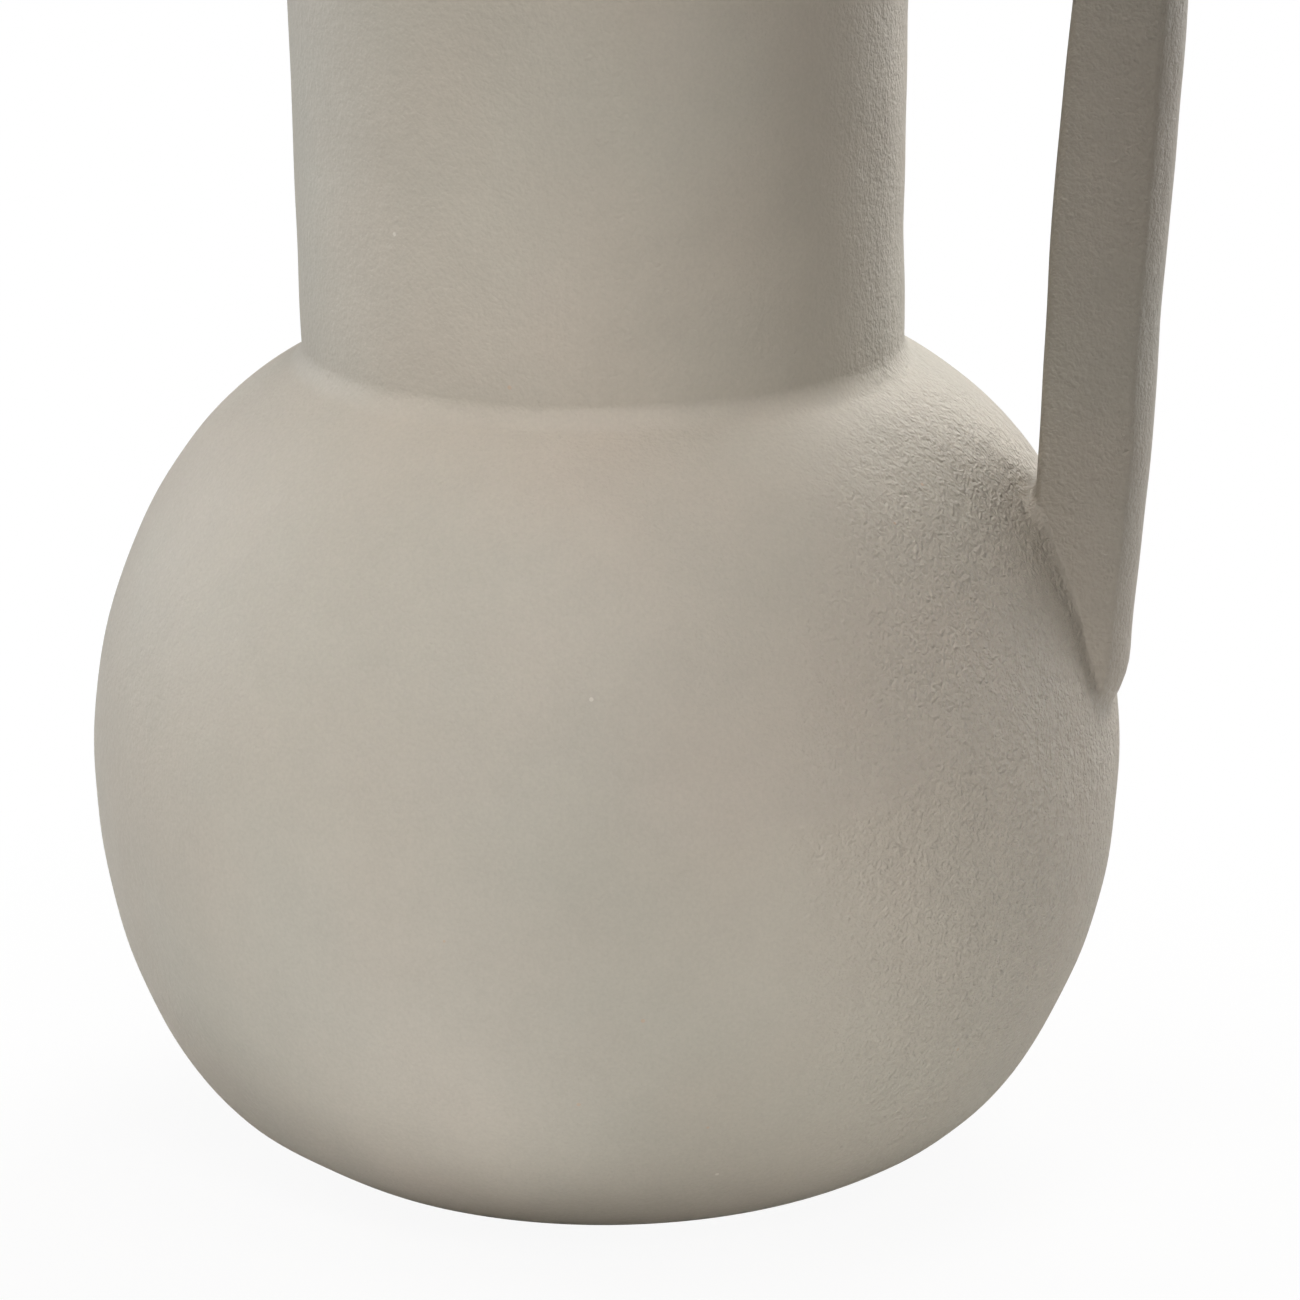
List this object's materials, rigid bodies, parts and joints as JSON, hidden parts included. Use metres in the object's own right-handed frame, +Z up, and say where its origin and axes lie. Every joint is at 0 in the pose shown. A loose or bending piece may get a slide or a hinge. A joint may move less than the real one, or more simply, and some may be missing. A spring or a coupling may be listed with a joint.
{
  "type": "jug vase",
  "caption": "Stoneware jug vase: a round belly, a tall neck that opens slightly, and an upright bar handle from below the rim to the shoulder.",
  "frame": {"origin": "centre of the flat foot, on the vase's axis", "axes": "+Z up along the axis to the mouth, +X from the axis towards the handle"},
  "size_m": [0.204, 0.19, 0.3],
  "materials": {
    "body": "matte, fine suede-like grain",
    "neck": "matte, fine suede-like grain",
    "handle": "matte, fine suede-like grain",
    "slip": "matte, sponged smooth",
    "glaze": "satin"
  },
  "bodies": {
    "root": {"belly": "body", "neck": "neck", "handle": "handle", "neck_seam": "slip", "handle_lower_seam": "slip", "handle_upper_seam": "slip", "glaze_lining": "glaze"}
  },
  "joints": []
}
